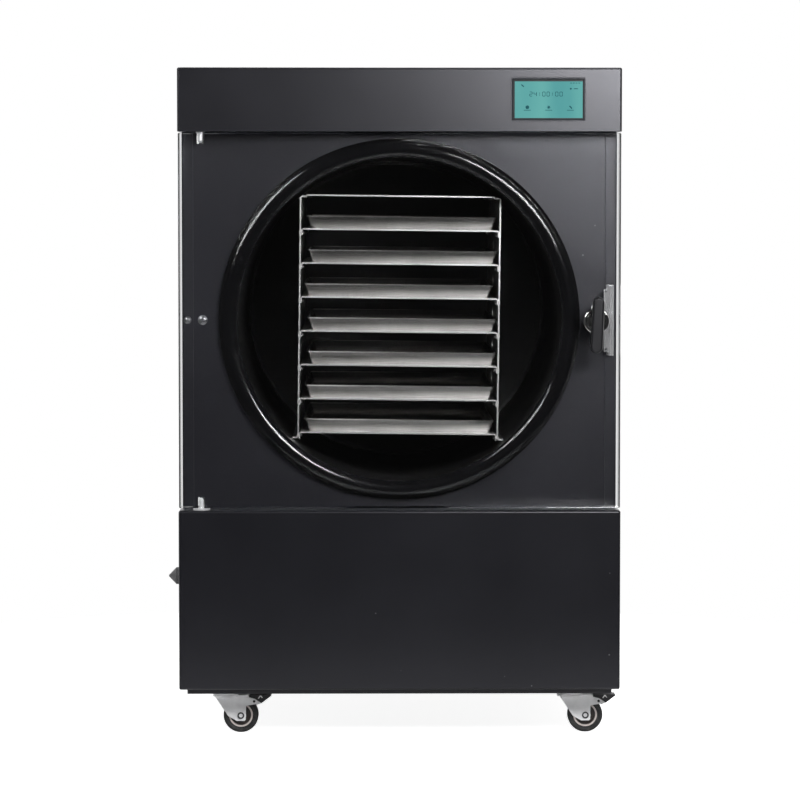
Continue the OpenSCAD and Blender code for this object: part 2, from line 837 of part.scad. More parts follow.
module door_pane()
    color([0.86, 0.9, 0.92, 0.3]) in_cabinet() difference() {
        intersection() {
            along_z([door_z0, door_z1]) cut_area([-door_x, door_x], [0, door_t], door_chamfer);
            along_y([0, door_t]) cut_area([-door_x, door_x], [door_z0, door_z1], door_chamfer);
            along_x([-door_x, door_x]) cut_area([0, door_t], [door_z0, door_z1], door_chamfer);
        }
        // blind holes for the hinge pins
        translate([hinge_x, hinge_y, door_z0 - eps])
            cylinder(r = pin_r + turn_fit, h = pin_reach + 1);
        translate([hinge_x, hinge_y, door_z1 - pin_reach - 1])
            cylinder(r = pin_r + turn_fit, h = pin_reach + 1 + eps);
        translate([latch_x, -eps, latch_z]) rotate([-90, 0, 0])
            cylinder(r = spindle_r + turn_fit, h = door_t + 2 * eps);
    }

// a hinge pin standing up from a sheet: nut, collar, shank and round tip
module hinge_pin(collar_r, collar_h) {
    reach = collar_h + gap + pin_reach;
    rotate_extrude() {
        area([0, pin_r], [-sheet_t - nut_h - 1, reach - pin_tip]);
        area([0, collar_r], [0, collar_h]);
        area([0, nut_r], [-sheet_t - nut_h, -sheet_t]);
        intersection() {
            translate([0, reach - pin_tip]) dome(pin_r, pin_tip);
            area([0, pin_r], [reach - pin_tip - eps, reach]);
        }
    }
}
// a dome of radius r at its foot and height h, for a pin's end or a screw's head
module dome(r, h) {
    dome_r = (r * r + h * h) / (2 * h);
    translate([0, h - dome_r]) circle(dome_r);
}
module hinge_pins()
    color("#c4c6c9") in_cabinet() translate([hinge_x, hinge_y, 0]) {
        translate([0, 0, z_deck]) hinge_pin(lower_collar_r, door_gap_bottom - gap);
        translate([0, 0, z_head]) mirror([0, 0, 1]) hinge_pin(upper_collar_r, door_gap_top - gap);
    }

// ---- latch ----

module at_latch() in_cabinet() translate([latch_x, 0, latch_z]) children();

// the handle: a neck on the spindle, and one smooth bar that widens downwards
module door_handle() {
    back = -rose_h - gap;
    color("#1b1b1d") at_latch() difference() {
        union() {
            rotate([90, 0, 0]) translate([0, 0, -back]) cylinder(r = neck_r, h = neck_h + wing_t / 2);
            rotate([0, handle_lean, 0]) translate([0, back - neck_h, 0]) hull() {
                wing_end(wing_up - wing_top_w / 2, wing_top_w / 2);
                wing_end(-wing_down + wing_bottom_w / 2, wing_bottom_w / 2);
            }
        }
        translate([0, back + eps, 0]) rotate([90, 0, 0]) cylinder(r = spindle_r + turn_fit, h = neck_h);
    }
}
// a round end of the handle at a height, its edges rounded in two steps
module wing_end(z, r)
    translate([0, 0, z]) rotate([90, 0, 0])
        for (k = [[0, 1], [0.3, 0.3], [1, 0]])
            translate([0, 0, k[0] * wing_round])
                cylinder(r = r - k[1] * wing_round, h = wing_t - 2 * k[0] * wing_round, $fn = 32);

module handle_rose()
    color("#c8cacd") at_latch() turned_y() difference() {
        union() {
            area([spindle_r + 1, rose_r], [-rose_h + 3, 0]);
            round_area([rose_r - 4.5, rose_r], [-rose_h, 0], 1.8);
            area([spindle_r + 1, spindle_r + 6], [-rose_h, 0]);
        }
        area([0, spindle_r + turn_fit + 1], [-2 * rose_h, 1]);
    }

// the spindle through the door, and the cam that turns behind the strike
module latch_cam()
    color("#b4b6b9") at_latch() {
        translate([0, -rose_h - gap - neck_h + 1, 0]) rotate([-90, 0, 0])
            cylinder(r = spindle_r, h = rose_h + gap + neck_h - 1 + cam_y + cam_t + spindle_end);
        translate([0, door_t + gap, 0]) rotate([-90, 0, 0]) cylinder(r = spindle_r + 3, h = cam_hub_h + eps);
        along_y([cam_y, cam_y + cam_t]) {
            circle(cam_w);
            area([-cam_w / 2, cam_w / 2], [0, cam_reach - cam_tip_r]);
            round_area([-cam_w / 2, cam_w / 2], [cam_reach - 3 * cam_tip_r, cam_reach], cam_tip_r);
        }
        translate([0, cam_y + cam_t - eps, 0]) rotate([-90, 0, 0])
            cylinder(r = neck_r, h = spindle_end - 1, $fn = 6);
    }

// the strike: a base on the side flange, a web and a lip that the cam pulls on,
// with two round rails along the lip's outer edge
module strike_plate() {
    lip_y = cam_y - gap - strike_t;
    z = [latch_z - strike_len / 2, latch_z + strike_len / 2];
    lip_z = [z[0] + strike_end, z[1] - strike_end];
    color("#d0d2d5") in_cabinet() difference() {
        union() {
            block([strike_x1 - strike_base_w, strike_x1], [flange_y - strike_t, flange_y], z);
            block([strike_x1 - strike_t, strike_x1], [lip_y, flange_y], lip_z);
            along_y([lip_y, lip_y + strike_t])
                round_area([strike_x1 - strike_lip, strike_x1], lip_z, strike_rail_r);
            for (k = [0.5, 1.5])
                strike_rail(strike_x1 - k * 2.05 * strike_rail_r, lip_y, z);
            // guide that centres the cam, on the lip's inner half
            block([strike_x1 - strike_lip + 2, strike_x1 - 4.5 * strike_rail_r], [lip_y - 1, lip_y + eps],
                [latch_z + 5 - guide_h, latch_z + 5]);
        }
        // screw holes in the base, and one at each end of the lip
        for (s = [-1, 1]) {
            translate([strike_x1 - strike_base_w / 2 - 1, flange_y, latch_z + s * strike_len * 0.3])
                strike_hole();
            translate([strike_x1 - strike_lip + 2 * strike_hole_r, lip_y,
                latch_z + s * (strike_len / 2 - strike_end - 2 * strike_hole_r)]) strike_hole();
        }
    }
}
module strike_hole()
    rotate([90, 0, 0]) cylinder(r = strike_hole_r, h = 6 * strike_t, center = true, $fn = 24);
// a round rail with round ends
module strike_rail(x, y, z) {
    r = strike_rail_r;
    translate([x, y, z[0] + r]) {
        cylinder(r = r, h = z[1] - z[0] - 2 * r, $fn = 32);
        for (e = [0, z[1] - z[0] - 2 * r])
            translate([0, 0, e]) sphere(r, $fn = 32);
    }
}

// ---- screen ----

module touchscreen_bezel() {
    x = [screen_x0 + gap / 2, screen_x1 - gap / 2];
    z = [screen_z0 + gap / 2, screen_z1 - gap / 2];
    color("#3c3c40") in_cabinet() difference() {
        union() {
            block(x, [0, glass_set + 2], z);
            block([x[0] - bezel_lip, x[1] + bezel_lip], [sheet_t, sheet_t + bezel_lip_t],
                [z[0] - bezel_lip, z[1] + bezel_lip]);
        }
        // opening that narrows from the front to the glass
        intersection() {
            along_z([z[0], z[1]]) polygon([[x[0] + 1, -eps], [x[1] - 1, -eps],
                [x[1] - screen_rim, glass_set], [x[0] + screen_rim, glass_set]]);
            along_x([x[0], x[1]]) polygon([[-eps, z[0] + 1], [-eps, z[1] - 1],
                [glass_set, z[1] - screen_rim], [glass_set, z[0] + screen_rim]]);
        }
        block([x[0] + screen_rim, x[1] - screen_rim], [glass_set - eps, glass_set + 10],
            [z[0] + screen_rim, z[1] - screen_rim]);
    }
}
module touchscreen_panel() {
    w = screen_rim + gap;
    color("#46a39b") in_cabinet() {
        block([screen_x0 + w, screen_x1 - w], [glass_set, glass_set + glass_t], [screen_z0 + w, screen_z1 - w]);
        block([screen_x0 - board_edge, screen_x1 + board_edge],
            [glass_set + glass_t - eps, glass_set + glass_t + board_d],
            [screen_z0 - board_edge, screen_z1 + board_edge]);
    }
}

// ---- castors ----

// the four castors: 0 and 1 at the front, 2 and 3 at the rear, left one first
function castor_x(c) = (c % 2 == 0 ? -1 : 1) * (half_w - castor_inset_x);
function castor_y(c) = c < 2 ? castor_inset_y : cabinet_d - castor_inset_y;
module at_castor(c) in_cabinet() translate([castor_x(c), castor_y(c), 0]) children();
module castor_bolts(c)
    translate([castor_x(c), castor_y(c), z_base])
        for (x = [-1, 1])
            for (y = [-1, 1])
                translate([x * castor_plate_w * 0.4, y * castor_plate_w * 0.4, 0]) children();

module castor_plates()
    color("#a9abae") {
        for (c = [0 : 3]) {
            at_castor(c) difference() {
                union() {
                    along_z([z_base - castor_plate_t, z_base])
                        round_area([-castor_plate_w / 2, castor_plate_w / 2],
                            [-castor_plate_w / 2, castor_plate_w / 2], 6);
                    rotate_extrude() area([0, race_r + 2], [race_z + gap, z_base - castor_plate_t + eps]);
                }
                translate([0, 0, race_z]) cylinder(r = kingpin_r + turn_fit, h = 40);
            }
            in_cabinet() castor_bolts(c) translate([0, 0, -castor_plate_t - bolt_head_h])
                cylinder(r = bolt_head_r, h = bolt_head_h, $fn = 6);
        }
    }

// outline of a fork cheek, with the axle at the origin
module cheek_outline() {
    polygon([[-trail - 18, 29], [-13, 29], [10, 26.5], [20, 23.6], [29.5, 17.5], [7.5, 13.8],
        [7, -6.2], [5.4, -7.8], [-6, -7.8], [-trail + 2, -1]]);
    circle(7.6);
}
module castor_fork(c) {
    inner = wheel_w / 2 + fork_gap;
    color("#b3b5b7") at_castor(c) {
        translate(wheel_offset) {
            for (y = [-inner - fork_t, inner])
                along_y([y, y + fork_t]) difference() {
                    cheek_outline();
                    translate(pedal_pin) circle(pedal_pin_r + turn_fit);
                }
            rotate([90, 0, 0]) cylinder(r = axle_r, h = 2 * (inner + fork_t), center = true);
            for (m = [0, 1])
                mirror([0, m, 0]) translate([0, inner + fork_t - eps, 0]) axle_head();
        }
        along_z([crown_z - fork_t, crown_z]) {
            circle(race_r);
            area([0, trail + 11], [-inner - fork_t, inner + fork_t]);
        }
        translate([0, 0, crown_z - eps]) cylinder(r = race_r - 2, h = race_z - crown_z + eps);
        translate([0, 0, race_z - eps]) cylinder(r = kingpin_r, h = z_base - race_z - 1);
    }
}
// the axle's end outside the cheek: a rim round a recess, and a bolt in the recess
module axle_head()
    rotate([-90, 0, 0]) {
        difference() {
            cylinder(r = axle_head_r, h = axle_head_h);
            translate([0, 0, axle_head_h / 2]) cylinder(r = axle_head_r - axle_rim, h = axle_head_h);
        }
        cylinder(r = axle_head_r / 2, h = axle_head_h * 0.9);
    }

module castor_wheel(c)
    color("#4a3530") at_castor(c) translate(wheel_offset) turned_y() difference() {
        union() {
            area([0, axle_r + 4], [-wheel_w / 2, wheel_w / 2]);
            area([0, hub_r], [-wheel_w / 2 + 4, wheel_w / 2 - 4]);
            area([hub_r - 3, hub_r], [-wheel_w / 2 + 1, wheel_w / 2 - 1]);
        }
        area([-1, axle_r + turn_fit], [-wheel_w, wheel_w]);
    }

module castor_tyre(c)
    color("#2a2b2c") at_castor(c) translate(wheel_offset) turned_y() {
        round_area([hub_r + 1, wheel_r], [-wheel_w / 2, wheel_w / 2], 3.4);
        area([hub_r, hub_r + 5], [-wheel_w / 2 + 1, wheel_w / 2 - 1]);
    }

// a brake pedal on its pin between the cheeks, its nose just off the tyre
module brake_pedal(c)
    color("#161617") at_castor(c) translate(wheel_offset) {
        along_y([-wheel_w / 2 - fork_gap + gap, wheel_w / 2 + fork_gap - gap])
            difference() {
                polygon([[11.7, 22], [11.7, pedal_top], [42.5, pedal_top], [43.5, pedal_top - 1.5],
                    [30, 17.5], [23, 15], [17, 18]]);
                circle(wheel_r + 1.2);
            }
        translate([pedal_pin[0], 0, pedal_pin[1]]) rotate([90, 0, 0])
            cylinder(r = pedal_pin_r, h = wheel_w + 2 * (fork_gap + fork_t), center = true, $fn = 24);
    }

// ---- refrigeration ----

module compressor() {
    top = comp_z + comp_h;
    lower_r = comp_base_round;
    upper_r = comp_top_round;
    seam_z = comp_z + comp_h * 0.45;
    color("#1e1e20") in_cabinet() translate([comp_x, comp_y, 0]) {
        rotate_extrude() {
            area([0, comp_r - lower_r], [comp_z, top]);
            area([0, comp_r], [comp_z + lower_r, top - upper_r]);
            intersection() {
                translate([comp_r - lower_r, comp_z + lower_r]) circle(lower_r);
                area([0, comp_r], [comp_z, comp_z + lower_r]);
            }
            intersection() {
                translate([comp_r - upper_r, top - upper_r]) circle(upper_r);
                area([0, comp_r], [comp_z, top]);
            }
            area([0, comp_r + comp_seam[0]], [seam_z, seam_z + comp_seam[1]]);
        }
        along_z([comp_z - 4, comp_z + eps]) round_area([-comp_r, comp_r], [-comp_r, comp_r], 12);
        for (x = [-1, 1])
            for (y = [-1, 1])
                translate([x * (comp_r - lower_r), y * (comp_r - lower_r), floor_z])
                    cylinder(r = comp_foot_r, h = comp_z - 4 - floor_z + eps);
    }
}

// fin block with its fan shroud, on two feet, and the bracket that holds the fan
module condenser() {
    x0 = cond_x1 - cond_t;
    fin_pitch = cond_len / FINS;
    tube_pitch = cond_h / TUBES;
    y = [cond_y0, cond_y0 + cond_len];
    z = [cond_z0, cond_z0 + cond_h];
    color("#9b9da0") in_cabinet() {
        for (i = [0 : FINS - 1])
            block([x0, cond_x1], [y[0] + (i + 0.3) * fin_pitch, y[0] + (i + 0.7) * fin_pitch],
                [z[0] + cond_cap - 1, z[1] - cond_cap + 1]);
        for (i = [0 : TUBES - 1])
            block([x0 + tube_end, cond_x1 - tube_end], y,
                [z[0] + (i + 0.5) * tube_pitch - tube_h / 2, z[0] + (i + 0.5) * tube_pitch + tube_h / 2]);
        for (e = [z[0], z[1] - cond_cap])
            block([x0, cond_x1], y, [e, e + cond_cap]);
        for (f = [y[0] + cond_foot_set, y[1] - cond_foot_set - cond_foot])
            block([x0 + 4, half_w - base_inset - lip_w - gap], [f, f + cond_foot], [floor_z, z[0] + eps]);
        difference() {
            block([shroud_x, x0 + eps], y, z);
            block([shroud_x + shroud_t, x0 + 1], [y[0] + shroud_t, y[1] - shroud_t],
                [z[0] + shroud_t, z[1] - shroud_t]);
            translate([shroud_x, fan_y, fan_z]) rotate([0, 90, 0])
                cylinder(r = fan_r + 4, h = 4 * shroud_t, center = true);
        }
        // cross bar with the fan's bearing
        difference() {
            union() {
                block([shroud_x - bar_t, shroud_x + eps], [fan_y - bar_w / 2, fan_y + bar_w / 2], z);
                translate([shroud_x - bar_t, fan_y, fan_z]) rotate([0, 90, 0])
                    cylinder(r = bearing_r, h = 2 * bar_t);
            }
            translate([shroud_x - bar_t - 1, fan_y, fan_z]) rotate([0, 90, 0])
                cylinder(r = fan_shaft_r + turn_fit, h = 2 * bar_t + 2);
        }
    }
}
module condenser_fan()
    color("#202022") in_cabinet() translate([shroud_x + bar_t + gap, fan_y, fan_z]) {
        rotate([0, 90, 0]) cylinder(r = fan_hub_r, h = fan_hub_h);
        translate([-2 * bar_t, 0, 0]) rotate([0, 90, 0]) cylinder(r = fan_shaft_r, h = 2 * bar_t + 1);
        intersection() {
            rotate([0, 90, 0]) cylinder(r = fan_r, h = fan_hub_h);
            for (i = [0 : BLADES - 1])
                rotate([i * 360 / BLADES, 0, 0]) translate([fan_hub_h / 2, 0, fan_hub_r - 2])
                    rotate([0, 0, blade_turn])
                        block([-blade_t / 2, blade_t / 2], [-blade_w / 2, blade_w / 2], [0, fan_r]);
        }
    }

// ---- drain, vacuum port, inlet and screws ----

module at_drain() in_cabinet() translate([-side_x, drain_y, drain_z]) children();
module drain_valve() {
    color("#8f8c84") at_drain() {
        // valve body through the side panel, nut inside
        difference() {
            union() {
                translate([-spout_len, 0, 0]) rotate([0, 90, 0]) cylinder(r = spout_r, h = spout_len + spout_in);
                hose_barb();
            }
            translate([-spout_len - eps, 0, 0]) rotate([0, 90, 0])
                cylinder(r = knob_stem_r + turn_fit, h = knob_stem);
            translate([side_x - barb_x, 0, -spout_r - barb_len - eps])
                cylinder(r = barb_bore_r, h = barb_len);
        }
        translate([-washer_t, 0, 0]) rotate([0, 90, 0]) cylinder(r = spout_r + 5, h = washer_t);
        translate([sheet_t, 0, 0]) rotate([0, 90, 0]) cylinder(r = spout_r + 6, h = spout_nut_t, $fn = 6);
        // pipe to the middle, and up to the drum's lowest point
        translate([spout_in - 1, 0, 0]) rotate([0, 90, 0]) cylinder(r = pipe_r, h = side_x - spout_in + 1);
        translate([side_x, 0, 0]) sphere(pipe_r);
        translate([side_x, 0, 0]) cylinder(r = pipe_r, h = drum_z - drum_out - gap - drain_z);
    }
}
// hose barb below the spout
module hose_barb()
    translate([side_x - barb_x, 0, 0]) rotate([180, 0, 0]) rotate_extrude() {
        area([0, barb_r], [0, spout_r + barb_len]);
        for (i = [0 : 2])
            translate([0, spout_r + barb_len - 6 - i * 6])
                polygon([[0, 0], [barb_r + 1, 0], [barb_r, 5], [0, 5]]);
    }
module drain_knob() {
    back = -spout_len - gap;
    color("#77777b") at_drain() {
        translate([back, 0, 0]) mirror([1, 0, 0]) turned_x() {
            polygon([[0, 0], [knob_r - 1, 0], [knob_r, 1], [knob_r, knob_len * 0.3],
                [2.2, knob_len - 1], [1.2, knob_len], [0, knob_len]]);
        }
        translate([back - 1, 0, 0]) rotate([0, 90, 0]) cylinder(r = knob_stem_r, h = knob_stem);
    }
}

// straight pipe from the dished end's boss to a flange behind the rear panel
module vacuum_port() {
    end = cabinet_d + port_reach;
    pipe_out = port_r + port_t;
    flange_r = pipe_out + 5.5;
    color("#c2c4c6") in_drum() turned_y() difference() {
        union() {
            area([0, pipe_out], [boss_y, end]);
            area([0, pipe_out + 4], [boss_y, boss_y + port_flange_t]);
            area([0, flange_r], [end - port_flange_t, end]);
            // the flange's rear face slopes, for a clamp
            polygon([[0, end - port_flange_t - 3], [pipe_out, end - port_flange_t - 3],
                [flange_r, end - port_flange_t + eps], [0, end - port_flange_t + eps]]);
        }
        area([-1, port_r], [boss_y - 1, end + 1]);
    }
}

// a box round the inlet's middle, from its half sizes
module inlet_block(half, y)
    block([inlet_x - half[0], inlet_x + half[0]], y, [inlet_z - half[1], inlet_z + half[1]]);
module power_inlet() {
    y = cabinet_d;
    mouth_y = y - inlet_mouth_d;
    color("#1c1c1e") in_cabinet() {
        difference() {
            union() {
                along_y([y, y + inlet_plate_t]) translate([inlet_x, inlet_z])
                    round_area([-inlet_plate[0], inlet_plate[0]], [-inlet_plate[1], inlet_plate[1]], 5);
                inlet_block(inlet_body, [y - inlet_body_d, y + eps]);
            }
            inlet_block(inlet_mouth, [mouth_y, y + inlet_plate_t + 1]);
            for (s = [-1, 1])
                translate([inlet_x + s * (inlet_plate[0] - 5), y, inlet_z]) rotate([90, 0, 0])
                    cylinder(r = 1.8, h = 8, center = true);
        }
        for (p = inlet_pins)
            block([inlet_x + p[0] - 1, inlet_x + p[0] + 1], [mouth_y - eps, y - 6],
                [inlet_z + p[1] - 2, inlet_z + p[1] + 2]);
    }
}

// screws of the left flange, bulkhead and rear panel
module screw(r)
    rotate([90, 0, 0]) difference() {
        rotate_extrude() {
            intersection() {
                dome(r, screw_h);
                area([0, r], [0, screw_h]);
            }
            area([0, screw_shank_r], [-sheet_t - bulkhead_t - 2, eps]);
        }
        translate([0, 0, screw_h / 2]) cylinder(r = r * 0.42, h = screw_h, $fn = 6);
    }
module panel_screws()
    color("#6d6e72") in_cabinet() {
        translate([big_screw_x, bulkhead_y, latch_z]) screw(big_screw_r);
        translate([-side_x + flange_w / 2, flange_y, latch_z]) screw(screw_r);
        for (z = screw_heights())
            for (s = [-1, 1])
                translate([s * (side_x - flange_w / 2), cabinet_d, z]) mirror([0, 1, 0]) screw(screw_r);
    }

// ---- what is drawn ----

base_frame();
left_side_panel();
right_side_panel();
rear_panel();
lower_front_panel();
head_cover();
head_underpan();
front_bulkhead();
chamber_cradle();
vacuum_chamber();
chamber_gasket();
evaporator_coil();
rack_left_side();
rack_right_side();
rack_top_plate();
shelf(1);  // shelf_1
shelf(2);  // shelf_2
shelf(3);  // shelf_3
shelf(4);  // shelf_4
shelf(5);  // shelf_5
shelf(6);  // shelf_6
shelf(7);  // shelf_7
tray(1);  // tray_1
tray(2);  // tray_2
tray(3);  // tray_3
tray(4);  // tray_4
tray(5);  // tray_5
tray(6);  // tray_6
tray(7);  // tray_7
door_pane();
hinge_pins();
door_handle();
handle_rose();
latch_cam();
strike_plate();
panel_screws();
touchscreen_bezel();
touchscreen_panel();
castor_plates();
castor_fork(0);  // front_left_fork
castor_fork(1);  // front_right_fork
castor_fork(2);  // rear_left_fork
castor_fork(3);  // rear_right_fork
castor_wheel(0);  // front_left_wheel
castor_wheel(1);  // front_right_wheel
castor_wheel(2);  // rear_left_wheel
castor_wheel(3);  // rear_right_wheel
castor_tyre(0);  // front_left_tyre
castor_tyre(1);  // front_right_tyre
castor_tyre(2);  // rear_left_tyre
castor_tyre(3);  // rear_right_tyre
brake_pedal(0);  // left_brake_pedal
brake_pedal(1);  // right_brake_pedal
compressor();
condenser();
condenser_fan();
drain_valve();
drain_knob();
vacuum_port();
power_inlet();
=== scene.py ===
"""Looks, light and camera for the freeze dryer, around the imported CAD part.

Lengths are in metres and places are in the part's own frame, unless a name or comment says millimetres.
"""

import json
import math

import bmesh
import bpy
from mathutils import Euler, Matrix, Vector


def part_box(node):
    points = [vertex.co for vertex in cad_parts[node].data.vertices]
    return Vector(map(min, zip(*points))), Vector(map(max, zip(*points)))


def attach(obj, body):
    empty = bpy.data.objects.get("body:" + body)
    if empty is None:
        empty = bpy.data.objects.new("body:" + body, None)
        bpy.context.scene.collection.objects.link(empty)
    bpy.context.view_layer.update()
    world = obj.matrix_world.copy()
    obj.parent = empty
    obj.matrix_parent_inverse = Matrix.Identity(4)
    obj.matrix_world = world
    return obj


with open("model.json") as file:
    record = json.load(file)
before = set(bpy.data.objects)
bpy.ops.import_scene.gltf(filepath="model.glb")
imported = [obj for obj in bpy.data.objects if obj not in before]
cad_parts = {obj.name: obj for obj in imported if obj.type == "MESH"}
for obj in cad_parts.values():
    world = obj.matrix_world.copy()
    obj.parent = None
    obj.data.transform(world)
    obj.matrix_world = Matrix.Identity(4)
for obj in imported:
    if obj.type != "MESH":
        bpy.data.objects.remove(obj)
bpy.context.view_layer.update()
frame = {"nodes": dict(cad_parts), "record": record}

MM = 0.001

# the colour sockets of Blender's Mix node, which share their names with its other sockets
MIX_SHARE, MIX_A, MIX_B, MIX_RESULT = 0, 6, 7, 2


# ---- nodes ----


class Nodes:
    """Adds and joins the shader nodes of one material or world."""

    def __init__(self, tree):
        self.tree = tree

    def feed(self, socket, value):
        """Links a node's output into the socket, or sets a plain value on it."""
        if isinstance(value, bpy.types.NodeSocket):
            self.tree.links.new(value, socket)
        else:
            socket.default_value = value

    def put(self, node, sockets):
        """Feeds a node's inputs, which are named with _ for a space."""
        for name, value in sockets.items():
            self.feed(node.inputs[name.replace("_", " ")], value)

    def add(self, kind, settings=None, **sockets):
        """A new node of one kind, with its settings made and its inputs fed."""
        node = self.tree.nodes.new("ShaderNode" + kind)
        for name, value in (settings or {}).items():
            setattr(node, name, value)
        self.put(node, sockets)
        return node

    def between(self, value, low, high, at_low, at_high):
        """at_low where the value is low, at_high where it is high, and a straight ramp between them."""
        node = self.add("MapRange", Value=value, From_Min=low, From_Max=high, To_Min=at_low, To_Max=at_high)
        return node.outputs["Result"]

    def arithmetic(self, operation, *values):
        node = self.add("Math", {"operation": operation})
        for socket, value in zip(node.inputs, values):
            self.feed(socket, value)
        return node.outputs[0]

    def plus(self, a, b):
        return self.arithmetic("ADD", a, b)

    def minus(self, a, b):
        return self.arithmetic("SUBTRACT", a, b)

    def times(self, a, b):
        return self.arithmetic("MULTIPLY", a, b)

    def seen_straight(self):
        """1 on rays that come from the camera, directly or straight through the clear door."""
        rays = self.add("LightPath").outputs
        bounced = self.plus(rays["Glossy Depth"], rays["Diffuse Depth"])
        through = self.minus(rays["Is Transmission Ray"], bounced)
        return self.arithmetic("MAXIMUM", rays["Is Camera Ray"], through)


def with_alpha(colour):
    """A plain colour as four numbers. A node's output stays as it is."""
    return colour if isinstance(colour, bpy.types.NodeSocket) else (*colour, 1)


class Look(Nodes):
    """A procedural material: one principled shader, and the nodes that colour, roughen and bump it."""

    def __init__(self, name, colour, **sockets):
        self.material = bpy.data.materials.new(name)
        self.material.use_nodes = True
        super().__init__(self.material.node_tree)
        self.shader = self.tree.nodes["Principled BSDF"]
        self.put(self.shader, {"Base_Color": with_alpha(colour), **sockets})
        self.place = self.add("TexCoord").outputs["Object"]
        self.colour = None
        self.normal = None

    def stretched(self, stretch, turn=(0, 0, 0)):
        """The place on the object, drawn out along an axis for grain and brushing."""
        return self.add("Mapping", Vector=self.place, Scale=stretch, Rotation=turn).outputs[0]

    def axis(self, name):
        """One coordinate of the place on the object."""
        return self.add("SeparateXYZ", Vector=self.place).outputs[name]

    def noise(self, scale, detail=3.0, place=None):
        return self.add("TexNoise", Vector=place or self.place, Scale=scale, Detail=detail).outputs["Fac"]

    def specks(self, scale, size, seldom):
        """1 on scattered dots, with scale cells in a metre.

        Size is a dot's radius as a share of a cell, and seldom is the share of cells without a dot.
        """
        cells = self.add("TexVoronoi", Vector=self.place, Scale=scale)
        dot = self.between(cells.outputs["Distance"], size, size * 0.4, 0, 1)
        chosen = self.add("SeparateColor", Color=cells.outputs["Color"]).outputs["Red"]
        return self.times(dot, self.between(chosen, seldom, min(seldom + 0.02, 1), 0, 1))

    def band(self, value, rise_from, rise_to, fall_from, fall_to):
        """1 between rise_to and fall_from, fading to 0 outside. The four limits are in millimetres."""
        rise = self.between(value, rise_from * MM, rise_to * MM, 0, 1)
        fall = self.between(value, fall_from * MM, fall_to * MM, 1, 0)
        return self.times(rise, fall)

    def edges(self, radius):
        """1 along the edges of sheet and castings, 0 on their faces.

        Within the radius of an edge the rounded normal turns away from the true one.
        """
        soft = self.add("Bevel", {"samples": 6}, Radius=radius).outputs[0]
        true = self.add("NewGeometry").outputs["Normal"]
        dot = self.add("VectorMath", {"operation": "DOT_PRODUCT"})
        self.feed(dot.inputs[0], soft)
        self.feed(dot.inputs[1], true)
        return self.between(dot.outputs["Value"], 0.97, 0.80, 0, 1)

    def mix(self, share, a, b):
        """Colour a where share is 0 and b where it is 1."""
        node = self.add("Mix", {"data_type": "RGBA"})
        self.feed(node.inputs[MIX_SHARE], share)
        self.feed(node.inputs[MIX_A], with_alpha(a))
        self.feed(node.inputs[MIX_B], with_alpha(b))
        return node.outputs[MIX_RESULT]

    def paint(self, colour):
        self.colour = colour
        self.put(self.shader, {"Base_Color": colour})
        return self

    def rough(self, value):
        self.put(self.shader, {"Roughness": value})
        return self

    def soften(self, radius):
        """Rounds the look of edges, and keeps the rounded normal for the bumps that follow."""
        self.normal = self.add("Bevel", {"samples": 4}, Radius=radius).outputs[0]
        self.put(self.shader, {"Normal": self.normal})
        return self

    def bump(self, height, distance, strength):
        sockets = {"Height": height, "Distance": distance, "Strength": strength}
        if self.normal is not None:
            sockets["Normal"] = self.normal
        self.normal = self.add("Bump", **sockets).outputs[0]
        self.put(self.shader, {"Normal": self.normal})
        return self


def lighter(colour, times):
    """A colour so many times as light, or darker where times is under 1."""
    return tuple(min(1.0, c * times) for c in colour)


# ---- painted sheet ----


CABINET_BLACK = (0.0075, 0.0075, 0.0098)
BASE_BLACK = (0.006, 0.006, 0.0068)
COMPRESSOR_BLACK = (0.012, 0.012, 0.012)
DUST_GREY = (0.42, 0.42, 0.43)
COOL_GLOSS = (0.93, 0.93, 1.0, 1.0)


def powder_coat(name, colour, roughness, dust=0.35, gloss=0.54):
    """Satin powder coat: fine orange peel, a faint mottle, pale edges and a little dust. The pale edges are
    partly rubbed paint and partly a painted highlight.

    The roughness varies little, because the denoiser draws an outline where it passes about 0.27.
    """
    look = Look(name, colour, Specular_IOR_Level=gloss, Specular_Tint=COOL_GLOSS)
    peel = look.noise(420, 2)
    mottle = look.noise(9, 4)
    rubbed = look.between(look.noise(60, 4), 0.45, 0.7, 0.15, 0.8)
    wear_and_edge_highlight = look.times(look.edges(1.1 * MM), rubbed)
    body = look.mix(look.between(mottle, 0.35, 0.65, 0, 1), lighter(colour, 0.92), lighter(colour, 1.08))
    # pale edges: partly rubbed paint, partly a painted highlight along every edge
    body = look.mix(wear_and_edge_highlight, body, lighter(colour, 12))
    dusted = look.times(look.specks(55, 0.075, 0.86), dust)
    look.paint(look.mix(dusted, body, DUST_GREY))
    look.rough(look.between(mottle, 0.3, 0.7, roughness - 0.012, roughness + 0.012))
    return look.soften(0.7 * MM).bump(peel, 0.12 * MM, 0.32)


def cabinet_paint():
    return powder_coat("cabinet_paint", CABINET_BLACK, 0.29)


def inner_paint():
    return powder_coat("inner_paint", CABINET_BLACK, 0.29, dust=0.45, gloss=0.47)


def base_paint():
    return powder_coat("base_paint", BASE_BLACK, 0.36, dust=0.3)


def compressor_black():
    return powder_coat("compressor_black", COMPRESSOR_BLACK, 0.28, dust=0.5)


# ---- bare and plated metal ----


